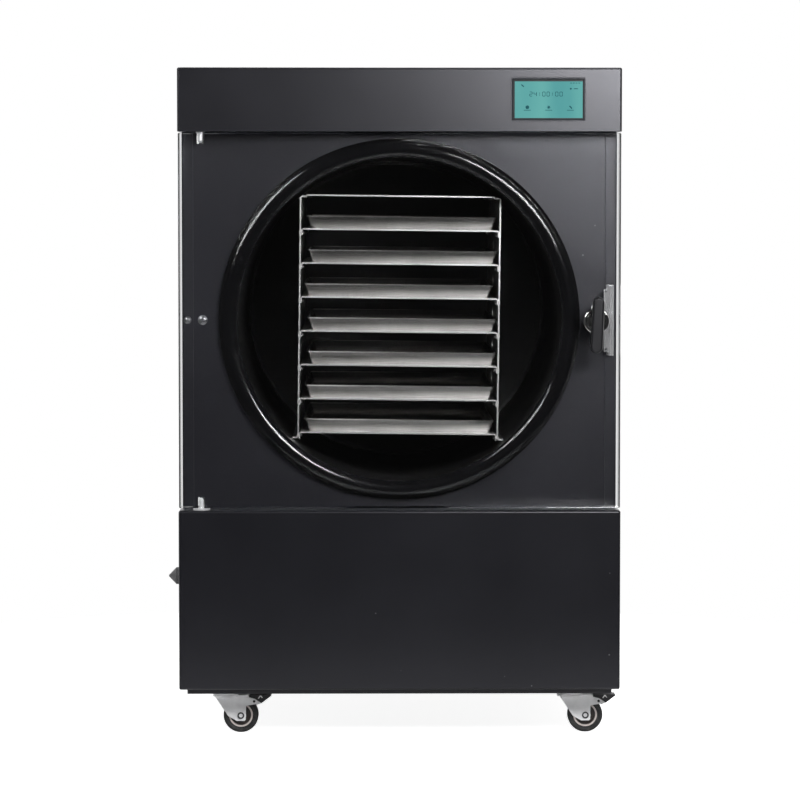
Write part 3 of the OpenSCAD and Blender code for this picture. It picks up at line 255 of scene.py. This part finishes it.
def brushed(name, colour, roughness, along, depth=0.03 * MM, streaks=900, spread=0.06):
    """Brushed sheet: hair lines drawn out along one axis, and cloudy changes in gloss.

    The roughness goes up and down by the spread. Streaks is how fine the hair lines are.
    """
    look = Look(name, colour, Metallic=1.0)
    stretch = tuple(0.02 if axis == along else 1.0 for axis in "xyz")
    hairs = look.noise(streaks, 4, look.stretched(stretch))
    clouds = look.noise(14, 3)
    tone = look.plus(look.between(hairs, 0.3, 0.7, 0, 0.75), look.between(clouds, 0.3, 0.7, 0, 0.25))
    look.paint(look.mix(tone, lighter(colour, 0.80), lighter(colour, 1.12)))
    look.rough(look.between(look.plus(hairs, clouds), 0.6, 1.4, roughness - spread, roughness + spread))
    return look.soften(0.4 * MM).bump(hairs, depth, 0.6)


def rack_steel():
    return brushed("rack_steel", (0.52, 0.515, 0.51), 0.34, "y")


def cam_steel():
    return brushed("cam_steel", (0.55, 0.55, 0.56), 0.35, "z")


def port_steel():
    return brushed("port_steel", (0.70, 0.70, 0.71), 0.25, "x")


def condenser_aluminium():
    return brushed("condenser_aluminium", (0.66, 0.67, 0.68), 0.42, "z")


def tray_height(look):
    """0 at a tray's foot and 1 at its rim, for each of the evenly spaced trays."""
    low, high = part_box("tray_7")
    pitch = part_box("tray_6")[0].z - low.z
    rise = look.arithmetic("MODULO", look.minus(look.axis("Z"), low.z - pitch), pitch)
    return look.between(rise, 0, high.z - low.z, 0, 1)


def tray_steel():
    """Brushed tray sheet with painted light and shade: painted highlights at the foot and along the rim, and
    painted shade on the upper wall below the rim.
    """
    look = brushed("tray_steel", (0.50, 0.485, 0.475), 0.22, "x", depth=0.04 * MM, streaks=1400, spread=0.05)
    height = tray_height(look)
    # painted shade on the upper wall, and painted highlights at the foot and along the rim
    painted_upper_shade = look.between(height, 0.40, 0.58, 1.0, 0.50)
    painted_foot_highlight = look.between(height, 0.40, 0.18, 1.0, 1.78)
    rim = look.between(height, 0.88, 0.95, 1.0, 3.0)
    strength = look.times(look.times(painted_upper_shade, painted_foot_highlight), rim)
    scaled = look.add("VectorMath", {"operation": "SCALE"}, Vector=look.colour, Scale=strength)
    return look.paint(scaled.outputs[0])


def cradle_steel():
    """Zinc-plated sheet: pale spangles and a dull sheen."""
    look = Look("cradle_steel", (0.48, 0.49, 0.51), Metallic=1.0)
    spangle = look.add("TexVoronoi", Vector=look.place, Scale=90).outputs["Color"]
    grey = look.add("SeparateColor", Color=spangle).outputs["Green"]
    look.paint(look.mix(grey, (0.40, 0.41, 0.43), (0.56, 0.57, 0.59)))
    look.rough(look.between(grey, 0, 1, 0.35, 0.5))
    return look.soften(0.5 * MM).bump(look.noise(300, 2), 0.04 * MM, 0.4)


def coil_copper():
    """Copper tube with dark stains."""
    look = Look("coil_copper", (0.60, 0.29, 0.16), Metallic=1.0)
    stain = look.noise(30, 5)
    look.paint(look.mix(look.between(stain, 0.4, 0.7, 0, 1), (0.62, 0.31, 0.18), (0.28, 0.13, 0.08)))
    look.rough(look.between(stain, 0.3, 0.7, 0.25, 0.45))
    return look.bump(look.noise(500, 2), 0.03 * MM, 0.4)


def polished(name, colour, roughness, metallic=1.0):
    """Polished or chromed metal: faint swirls and finger marks in the gloss."""
    look = Look(name, colour, Metallic=metallic)
    swirl = look.noise(260, 4)
    smear = look.noise(35, 3)
    look.paint(look.mix(look.between(smear, 0.4, 0.65, 0, 1), colour, lighter(colour, 0.9)))
    look.rough(look.between(smear, 0.35, 0.65, roughness, roughness + 0.06))
    return look.bump(swirl, 0.004 * MM, 0.2)


def pin_steel():
    return polished("pin_steel", (0.74, 0.74, 0.75), 0.28, metallic=0.45)


def rose_chrome():
    return polished("rose_chrome", (0.80, 0.80, 0.80), 0.06)


def strike_chrome():
    return polished("strike_chrome", (0.80, 0.80, 0.81), 0.10, metallic=0.80)


def screw_steel():
    return polished("screw_steel", (0.26, 0.26, 0.275), 0.24)


# ---- chamber, gasket and door ----


GASKET_BLACK = (0.003, 0.003, 0.0036)
CLEAR = (0.955, 0.965, 0.97)


def chamber_coat():
    """Dark coating inside the drum, with a soft gloss and slight runs."""
    look = Look("chamber_coat", (0.0045, 0.0045, 0.0048))
    flow = look.noise(6, 4)
    runs = look.between(flow, 0.4, 0.6, 0, 1)
    look.paint(look.mix(runs, (0.0035, 0.0035, 0.0038), (0.006, 0.0058, 0.006)))
    look.rough(look.between(flow, 0.3, 0.7, 0.30, 0.42))
    return look.bump(look.noise(160, 2), 0.15 * MM, 0.3)


def gasket_rubber():
    """Glossy black silicone, with faint moulding marks and lint."""
    look = Look("gasket_rubber", GASKET_BLACK, IOR=1.5)
    lint = look.times(look.specks(70, 0.05, 0.95), 0.25)
    look.paint(look.mix(lint, GASKET_BLACK, (0.2, 0.2, 0.21)))
    look.rough(look.between(look.noise(22, 4), 0.35, 0.65, 0.085, 0.13))
    return look.bump(look.noise(120, 3), 0.03 * MM, 0.15)


def door_clear():
    """Clear acrylic: faint wipe marks in the tint, rough grey side faces, and two strips of painted shade
    along the left and right edges.
    """
    look = Look("door_clear", CLEAR, Transmission_Weight=1.0, IOR=1.49, Roughness=0.0)
    low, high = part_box("door_pane")
    middle, half = (low.x + high.x) / 2, (high.x - low.x) / 2
    out = look.arithmetic("ABSOLUTE", look.minus(look.axis("X"), middle))
    # painted shade: the tint darkens in two steps towards the left and right edges
    painted_inner_edge_shade = look.between(out, half - 7.5 * MM, half - 6.5 * MM, 0, 1)
    painted_outer_edge_shade = look.between(out, half - 2.8 * MM, half - 2.2 * MM, 0, 1)
    side = look.between(out, half - 0.30 * MM, half - 0.15 * MM, 0, 1)
    wipes = look.noise(5, 5, look.stretched((1, 1, 0.35), (0, 0.5, 0)))
    clear = look.mix(look.between(wipes, 0.45, 0.75, 0, 1), CLEAR, lighter(CLEAR, 0.975))
    clear = look.mix(painted_inner_edge_shade, clear, lighter(CLEAR, 0.84))
    clear = look.mix(painted_outer_edge_shade, clear, lighter(CLEAR, 0.43))
    look.paint(look.mix(side, clear, lighter(CLEAR, 0.92)))
    return look.rough(look.times(side, 0.45))


# ---- moulded plastic and the screen's glass ----


def moulded(name, colour, roughness, grain=0.06 * MM, spread=0.05):
    """Moulded plastic: a fine spark-eroded grain and rubbed, paler edges."""
    look = Look(name, colour, Specular_Tint=(0.95, 0.95, 1.0, 1.0))
    rub = look.times(look.edges(0.9 * MM), look.between(look.noise(80, 3), 0.4, 0.65, 0.1, 0.7))
    look.paint(look.mix(rub, colour, lighter(colour, 2.4)))
    look.rough(look.between(look.noise(45, 3), 0.35, 0.65, roughness - spread, roughness + spread))
    return look.soften(0.5 * MM).bump(look.noise(900, 2), grain, 0.4)


def handle_black():
    return moulded("handle_black", (0.007, 0.007, 0.008), 0.29, spread=0.01)


def pedal_black():
    return moulded("pedal_black", (0.011, 0.011, 0.011), 0.45)


def fan_black():
    return moulded("fan_black", (0.012, 0.012, 0.012), 0.5)


def inlet_black():
    return moulded("inlet_black", (0.012, 0.012, 0.0125), 0.42)


def valve_grey():
    return moulded("valve_grey", (0.17, 0.165, 0.155), 0.5)


def knob_grey():
    return moulded("knob_grey", (0.115, 0.115, 0.118), 0.5)


def bezel_black():
    return moulded("bezel_black", (0.035, 0.035, 0.041), 0.36, grain=0.03 * MM)


def screen_glass():
    """Cover glass, nearly black where it is not lit, with finger marks."""
    look = Look("screen_glass", (0.008, 0.011, 0.013), Specular_IOR_Level=0.2)
    smear = look.noise(50, 4)
    look.paint(look.mix(look.between(smear, 0.4, 0.7, 0, 1), (0.007, 0.010, 0.012), (0.012, 0.015, 0.017)))
    return look.rough(look.between(smear, 0.4, 0.7, 0.35, 0.5))


# ---- castors ----


def axle_of(wheel):
    """The middle of a wheel's node, seen from the front: its x and z."""
    low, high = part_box(wheel)
    return (low.x + high.x) / 2, (low.z + high.z) / 2


def from_axles(look):
    """Distance of the place on the object from the nearer front castor's axle, seen from the front."""
    reach = []
    for wheel in ("front_left_wheel", "front_right_wheel"):
        middle_x, middle_z = axle_of(wheel)
        x = look.minus(look.axis("X"), middle_x)
        z = look.minus(look.axis("Z"), middle_z)
        square = look.plus(look.times(x, x), look.times(z, z))
        reach.append(look.arithmetic("POWER", square, 0.5))
    return look.arithmetic("MINIMUM", *reach)


def castor_zinc():
    """Zinc plate on pressed steel: cloudy and half dull, with a dark ring of painted shade round each axle
    bolt.
    """
    look = Look("castor_zinc", (0.86, 0.86, 0.87), Metallic=0.05)
    cloud = look.noise(70, 5)
    zinc = look.mix(look.between(cloud, 0.38, 0.66, 0, 1), (0.95, 0.95, 0.96), (0.85, 0.85, 0.86))
    # painted shade: a dark ring round each axle bolt
    painted_recess_shade = look.band(from_axles(look), 2.6, 3.0, 4.6, 5.1)
    look.paint(look.mix(painted_recess_shade, zinc, (0.03, 0.03, 0.032)))
    look.rough(look.between(cloud, 0.35, 0.65, 0.40, 0.55))
    return look.soften(0.5 * MM).bump(look.noise(420, 3), 0.05 * MM, 0.5)


def tyre_rubber():
    """Dark rubber with pale scuffs."""
    look = Look("tyre_rubber", (0.018, 0.018, 0.018))
    scuff = look.noise(160, 5)
    scuffed = look.between(scuff, 0.48, 0.75, 0, 1)
    look.paint(look.mix(scuffed, (0.015, 0.015, 0.016), (0.060, 0.058, 0.056)))
    look.rough(look.between(scuff, 0.3, 0.7, 0.5, 0.72))
    return look.soften(0.6 * MM).bump(scuff, 0.12 * MM, 0.5)


def hub_plastic():
    """Dark brown hub with a fine grain, and the pale rim that carries the tyre."""
    look = Look("hub_plastic", (0.028, 0.016, 0.013))
    rim = look.band(from_axles(look), 14.3, 14.8, 17.0, 17.4)
    stain = look.between(look.noise(90, 4), 0.35, 0.7, 0, 1)
    brown = look.mix(stain, (0.030, 0.017, 0.013), (0.016, 0.010, 0.008))
    pale = look.mix(stain, (0.74, 0.67, 0.64), (0.58, 0.51, 0.49))
    look.paint(look.mix(rim, brown, pale))
    look.rough(look.between(look.noise(45, 3), 0.35, 0.65, 0.28, 0.38))
    return look.soften(0.4 * MM).bump(look.noise(700, 2), 0.05 * MM, 0.4)


# each function carries the name of a material slot in the record
LOOKS = (
    cabinet_paint, inner_paint, base_paint, cradle_steel, chamber_coat, gasket_rubber, coil_copper,
    rack_steel, tray_steel, door_clear, pin_steel, handle_black, rose_chrome, cam_steel, strike_chrome,
    screw_steel, bezel_black, screen_glass, castor_zinc, hub_plastic, tyre_rubber, pedal_black,
    compressor_black, condenser_aluminium, fan_black, valve_grey, knob_grey, port_steel, inlet_black,
)


def dress_cad():
    """Gives every CAD node the look of its slot in the record."""
    looks = {make.__name__: make().material for make in LOOKS}
    for part in frame["record"]["subparts"]:
        for slot in frame["nodes"][part["node"]].material_slots:
            slot.material = looks[part["material_slot"]]


def let_light_through(pane):
    """Lamp light passes the clear door, which the camera still sees."""
    pane.visible_shadow = False
    pane.visible_diffuse = False


# ---- flat pieces ----


def place_mesh(name, mesh, material):
    """A new object in the scene, from a finished bmesh."""
    data = bpy.data.meshes.new(name)
    mesh.to_mesh(data)
    mesh.free()
    data.materials.append(material)
    piece = bpy.data.objects.new(name, data)
    bpy.context.scene.collection.objects.link(piece)
    return piece


def solid(name, outlines, y_front, y_back, material, body="root"):
    """A thin piece: closed outlines of (x, z) points, drawn out from front to back."""
    mesh = bmesh.new()
    for outline in outlines:
        front = [mesh.verts.new((x, y_front, z)) for x, z in outline]
        back = [mesh.verts.new((x, y_back, z)) for x, z in outline]
        mesh.faces.new(front)
        mesh.faces.new(back[::-1])
        for i in range(len(front)):
            mesh.faces.new((front[i - 1], back[i - 1], back[i], front[i]))
    bmesh.ops.recalc_face_normals(mesh, faces=mesh.faces)
    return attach(place_mesh(name, mesh, material), body)


def bar(x, z, width, height, turn=0.0, steps=5):
    """A bar with round ends, centred on x and z and turned by so many degrees."""
    r = height / 2
    points = []
    for side in (1, -1):
        for i in range(steps + 1):
            a = math.radians(-90 + 180 * i / steps)
            points.append((side * (width / 2 - r + r * math.cos(a)), side * r * math.sin(a)))
    c, s = math.cos(math.radians(turn)), math.sin(math.radians(turn))
    return [(x + u * c - v * s, z + u * s + v * c) for u, v in points]


def star(x, z, outer, inner, points):
    """A star, or a cog or disc where the two radii are close, with its first point upward."""
    outline = []
    for i in range(2 * points):
        r = outer if i % 2 == 0 else inner
        a = math.radians(90 + 180 * i / points)
        outline.append((x + r * math.cos(a), z + r * math.sin(a)))
    return outline


# ---- the picture on the screen ----


# the lit part of the display, in from the screen frame's left, right, bottom and top, in millimetres
LIT_INSETS = (10.2, 8.9, 9.4, 10.4)

READING = "24:00:00"
# the bars of each figure in the reading: a on top, b and c at the right, d at the foot, e and f at the left,
# and g in the middle
SEGMENTS = {"0": "abcdef", "2": "abged", "4": "fgbc"}
FIGURE_W, FIGURE_H = 3.6 * MM, 5.8 * MM
FIGURE_STEP = 6.0 * MM
STROKE = 0.85 * MM


def ink():
    """The dark marks on the display."""
    look = Look("screen_ink", (0.01, 0.06, 0.07), Roughness=0.6, Specular_IOR_Level=0.0)
    look.paint(look.mix(look.noise(400, 2), (0.01, 0.05, 0.06), (0.02, 0.08, 0.09)))
    look.put(look.shader, {"Emission_Color": (0.01, 0.07, 0.08, 1), "Emission_Strength": 0.4})
    return look.material


def backlight():
    """Lit teal display: brighter towards the left, with soft bands."""
    look = Look("screen_backlight", (0.02, 0.05, 0.05), Roughness=0.6, Specular_IOR_Level=0.0)
    low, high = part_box("touchscreen_panel")
    across = look.between(look.axis("X"), low.x, high.x, 0, 1)
    bands = look.noise(26, 2, look.stretched((1, 1, 0.25), (0, 0.35, 0)))
    glow = look.plus(look.between(bands, 0.3, 0.7, 0, 0.7), look.between(across, 0.15, 0.9, 0.3, 0))
    teal = look.mix(glow, (0.072, 0.285, 0.29), (0.125, 0.385, 0.36))
    look.put(look.shader, {"Emission_Color": teal, "Emission_Strength": 1.0})
    return look.material


def figure(digit, x, z):
    """One figure of a plain timer, made of bars."""
    w, h = FIGURE_W, FIGURE_H
    bars = {
        "a": (0, h / 2, w, 0), "g": (0, 0, w, 0), "d": (0, -h / 2, w, 0),
        "f": (-w / 2, h / 4, h / 2, 90), "b": (w / 2, h / 4, h / 2, 90),
        "e": (-w / 2, -h / 4, h / 2, 90), "c": (w / 2, -h / 4, h / 2, 90),
    }
    outlines = []
    for segment in SEGMENTS[digit]:
        right, up, length, turn = bars[segment]
        outlines.append(bar(x + right, z + up, length - STROKE * 0.3, STROKE, turn, 3))
    return outlines


def reading(text, x, z):
    """A row of figures centred on x and z, with two dots for a colon."""
    outlines = []
    x -= FIGURE_STEP * (len(text) - 1) / 2
    for letter in text:
        if letter == ":":
            dot = STROKE * 0.8
            outlines += [star(x, z + FIGURE_H * k, dot, dot, 4) for k in (-0.22, 0.22)]
        else:
            outlines += figure(letter, x, z)
        x += FIGURE_STEP
    return outlines


def menu_marks(at):
    """Three icons along the foot of the page, a cog, a star and a pen, each above a bar."""
    marks = [bar(*at(u, 0.215), 10 * MM, 0.8 * MM) for u in (0.185, 0.50, 0.82)]
    marks.append(star(*at(0.185, 0.295), 2.9 * MM, 2.3 * MM, 10))
    marks.append(star(*at(0.50, 0.295), 3.0 * MM, 1.3 * MM, 8))
    marks.append(bar(*at(0.825, 0.295), 5.4 * MM, 1.7 * MM, -48))
    return marks


def status_marks(at):
    """Small plain marks along the top of the page."""
    marks = [bar(*at(0.115, 0.885), 5.0 * MM, 1.5 * MM, -40)]
    marks += [bar(*at(u, 0.955), 2.6 * MM, 1.0 * MM) for u in (0.83, 0.87, 0.91, 0.95)]
    marks.append(star(*at(0.825, 0.80), 1.5 * MM, 1.2 * MM, 6))
    marks.append(bar(*at(0.90, 0.80), 6.0 * MM, 1.1 * MM))
    return marks


def add_screen():
    """A generic timer page on the lit part of the display."""
    low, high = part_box("touchscreen_bezel")
    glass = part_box("touchscreen_panel")[0].y
    from_left, from_right, from_bottom, from_top = (inset * MM for inset in LIT_INSETS)
    left, right = low.x + from_left, high.x - from_right
    bottom, top = low.z + from_bottom, high.z - from_top

    def at(u, v):
        """The place so far across and up the lit part, from 0 to 1."""
        return left + u * (right - left), bottom + v * (top - bottom)

    page = [at(0, 0), at(1, 0), at(1, 1), at(0, 1)]
    solid("screen_picture", [page], glass - 0.25 * MM, glass + 0.1 * MM, backlight())
    marks = reading(READING, *at(0.46, 0.655)) + menu_marks(at) + status_marks(at)
    solid("screen_marks", marks, glass - 0.35 * MM, glass - 0.2 * MM, ink())


# ---- small trim ----


# the clip's bent outline about its middle, in millimetres to the right and up
CLIP_OUTLINE = ((-3.6, -1.6), (-0.6, 2.2), (0.9, 2.2), (3.2, -0.9), (2.2, -1.6), (0.1, 0.7), (-2.4, -2.4))
# the clip's middle, from the wheel's axle
CLIP_RIGHT, CLIP_UP = 28 * MM, 26.2 * MM
# the pedal's front face, back from the front end of its pin
PEDAL_FACE = 2.5 * MM
# how far the clip stands out of that face, and how far it sits in it
CLIP_PROUD, CLIP_SUNK = 0.7 * MM, 0.1 * MM


def clip_zinc():
    """Bright zinc-plated spring steel."""
    look = Look("clip_zinc", (0.80, 0.80, 0.81), Metallic=0.6)
    look.paint(look.mix(look.noise(300, 3), (0.86, 0.86, 0.87), (0.66, 0.66, 0.67)))
    return look.rough(look.between(look.noise(500, 2), 0.3, 0.7, 0.3, 0.45)).material


def add_pedal_clips():
    """The bent spring clip on the face of each brake pedal."""
    for side in ("left", "right"):
        axle_x, axle_z = axle_of(f"front_{side}_wheel")
        x, z = axle_x + CLIP_RIGHT, axle_z + CLIP_UP
        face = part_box(f"{side}_brake_pedal")[0].y + PEDAL_FACE
        outline = [(x + u * MM, z + v * MM) for u, v in CLIP_OUTLINE]
        front, back = face - CLIP_PROUD, face + CLIP_SUNK
        solid(f"{side}_pedal_clip", [outline], front, back, clip_zinc(), f"{side}_pedal")


# ---- floor, light and camera ----


PAPER_WHITE = (0.80, 0.80, 0.80)
PAPER_RIM = (0.02, 0.02, 0.02)
# the paper's colour fades from the first radius to the floor's edge
FADE_RADIUS, FLOOR_RADIUS = 0.75, 1.2

# the camera's sensor and focal length in millimetres, as Blender takes them
SENSOR_WIDTH, FOCAL_LENGTH = 36, 152.45
CAMERA_PLACE = (-0.0346, -5.07565, 0.7602)
FARTHEST_SEEN = 50
# how far the camera looks down, and to the right, in degrees
CAMERA_DOWN, CAMERA_RIGHT = 3.386, 0.593


def paper():
    """Paper that the camera sees white, with the object's shadow.

    Its own colour fades towards the rim, so that no edge of it is mirrored in the object.
    """
    look = Look("paper", PAPER_WHITE)
    look.rough(look.between(look.noise(60, 3), 0.3, 0.7, 0.62, 0.78))
    reach = look.add("VectorMath", {"operation": "LENGTH"}, Vector=look.place).outputs["Value"]
    look.paint(look.mix(look.between(reach, FADE_RADIUS, FLOOR_RADIUS, 0, 1), PAPER_WHITE, PAPER_RIM))
    glow = look.times(look.seen_straight(), look.between(reach, 0.62, 0.90, 0.9, 1.0))
    white = look.add("Emission", Color=(1, 1, 1, 1), Strength=glow)
    both = look.add("AddShader")
    look.feed(both.inputs[0], look.shader.outputs[0])
    look.feed(both.inputs[1], white.outputs[0])
    look.put(look.tree.nodes["Material Output"], {"Surface": both.outputs[0]})
    return look.material


def add_floor():
    mesh = bmesh.new()
    bmesh.ops.create_circle(mesh, cap_ends=True, segments=96, radius=FLOOR_RADIUS)
    place_mesh("floor", mesh, paper())


def add_world():
    """A white backdrop behind the machine, dim walls beside it and a dark room in front.

    The camera sees white all round, directly and straight through the clear door.
    """
    world = bpy.data.worlds.new("studio")
    bpy.context.scene.world = world
    world.use_nodes = True
    nodes = Nodes(world.node_tree)
    way = nodes.add("SeparateXYZ", Vector=nodes.add("TexCoord").outputs["Generated"]).outputs
    behind = nodes.between(way["Y"], 0.0, 0.3, 0.02, 1.0)
    beside = nodes.between(nodes.arithmetic("ABSOLUTE", way["X"]), 0.85, 0.97, 0.0, 0.15)
    room = nodes.arithmetic("MAXIMUM", behind, beside)
    strength = nodes.arithmetic("MAXIMUM", room, nodes.seen_straight())
    nodes.put(nodes.tree.nodes["Background"], {"Color": (1, 1, 1, 1), "Strength": strength})


def add_softbox(name, place, aim, width, height, radiance):
    """A soft lamp aimed at a point, equally bright on every part of its face."""
    lamp = bpy.data.lights.new(name, "AREA")
    lamp.shape = "RECTANGLE"
    lamp.size, lamp.size_y = width, height
    lamp.energy = radiance * math.pi * width * height
    box = bpy.data.objects.new(name, lamp)
    bpy.context.scene.collection.objects.link(box)
    box.location = place
    box.rotation_euler = (Vector(aim) - Vector(place)).to_track_quat("-Z", "Y").to_euler()
    box.visible_camera = False


def add_lamps():
    """The key from the front right, a fill from the front left, and soft light from above and behind."""
    add_softbox("key_softbox", place=(0.70, -2.15, 1.21), aim=(0.05, -0.35, 0.75),
                width=0.8, height=0.46, radiance=29.5)
    add_softbox("side_softbox", place=(-1.25, -1.55, 1.60), aim=(0.0, -0.3, 0.6),
                width=0.55, height=0.9, radiance=12.5)
    add_softbox("top_softbox", place=(0.25, 0.25, 2.5), aim=(0.0, 0.0, 0.9),
                width=1.4, height=0.7, radiance=8.0)
    add_softbox("rear_softbox", place=(0.6, 2.6, 2.3), aim=(0.0, 0.2, 0.5),
                width=1.6, height=1.2, radiance=3.0)


def add_camera():
    """The photograph's viewing angle: from the front, a little above the middle, with a long lens."""
    lens = bpy.data.cameras.new("camera")
    lens.sensor_width = SENSOR_WIDTH
    lens.lens = FOCAL_LENGTH
    lens.clip_end = FARTHEST_SEEN
    camera = bpy.data.objects.new("camera", lens)
    bpy.context.scene.collection.objects.link(camera)
    camera.location = CAMERA_PLACE
    camera.rotation_euler = Euler((math.radians(90 - CAMERA_DOWN), 0, -math.radians(CAMERA_RIGHT)))
    bpy.context.scene.camera = camera


dress_cad()
let_light_through(frame["nodes"]["door_pane"])
add_screen()
add_pedal_clips()
add_floor()
add_world()
add_lamps()
add_camera()
bpy.context.scene.view_settings.view_transform = "Standard"
